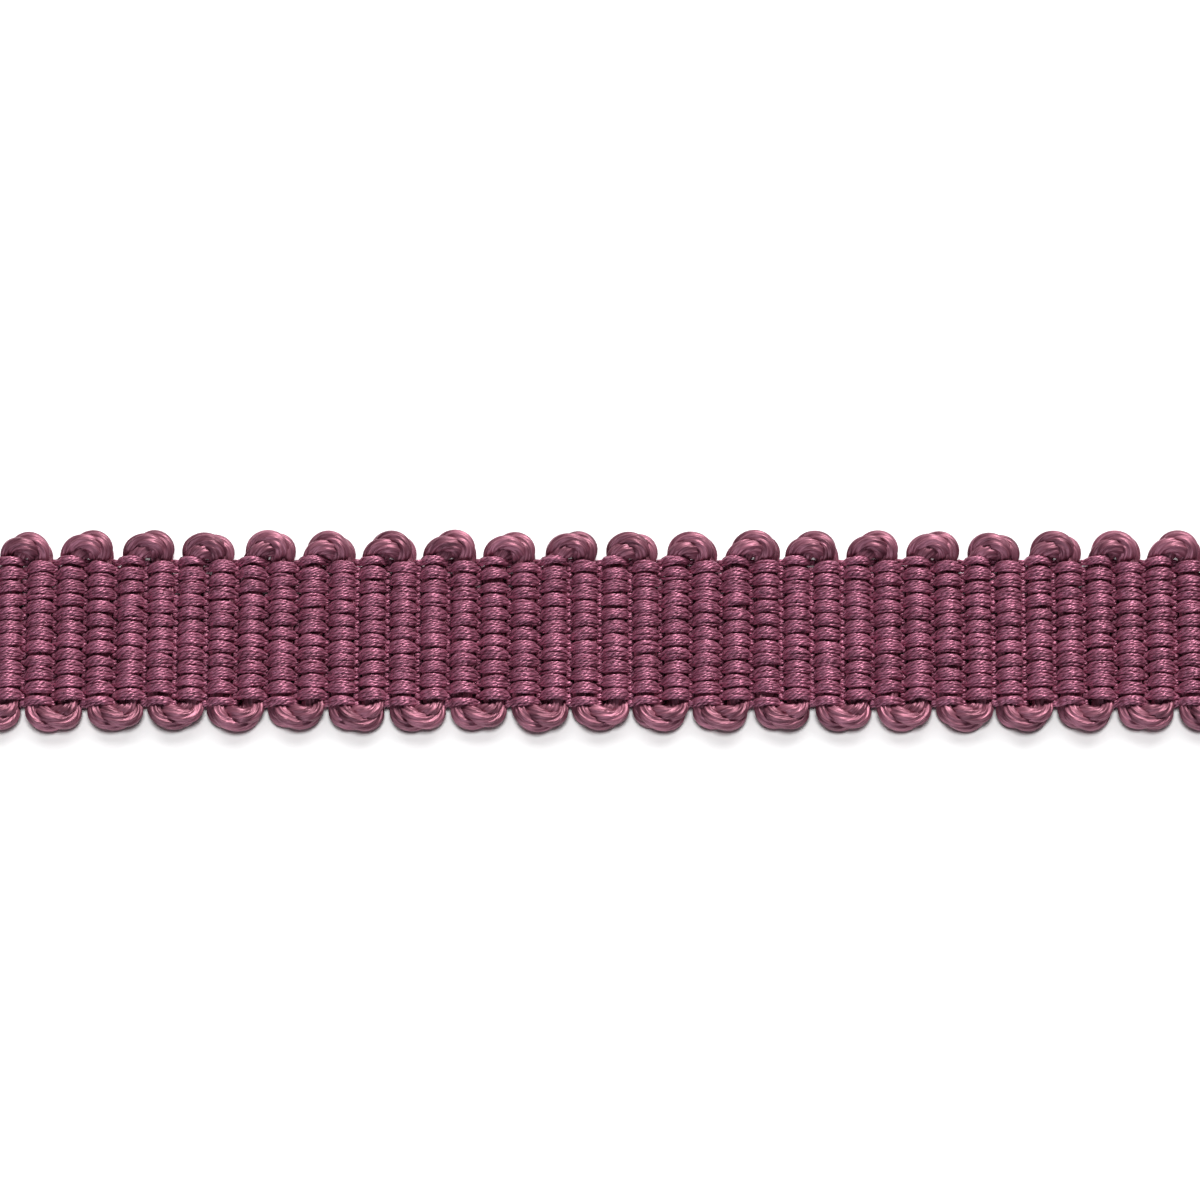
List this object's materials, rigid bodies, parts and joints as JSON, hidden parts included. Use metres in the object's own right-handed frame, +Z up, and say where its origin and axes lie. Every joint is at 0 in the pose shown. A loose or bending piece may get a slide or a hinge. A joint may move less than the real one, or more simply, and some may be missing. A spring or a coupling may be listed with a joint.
{
  "type": "gimp braid trim",
  "caption": "Straight, flat length of mauve gimp braid: a thick twisted cord zigzags across the band, loops at both edges and is bound in ribs by fine lengthwise yarns.",
  "frame": {"origin": "centre of the underside, on the surface that the trim lies on, at a groove between two ribs", "axes": "+X along the trim, +Y across the trim, +Z up out of its face side"},
  "size_m": [0.0822, 0.0126, 0.002],
  "materials": {
    "gimp_yarn": "semi-lustrous viscose"
  },
  "bodies": {
    "root": {"gimp_braid": "gimp_yarn"}
  },
  "joints": []
}
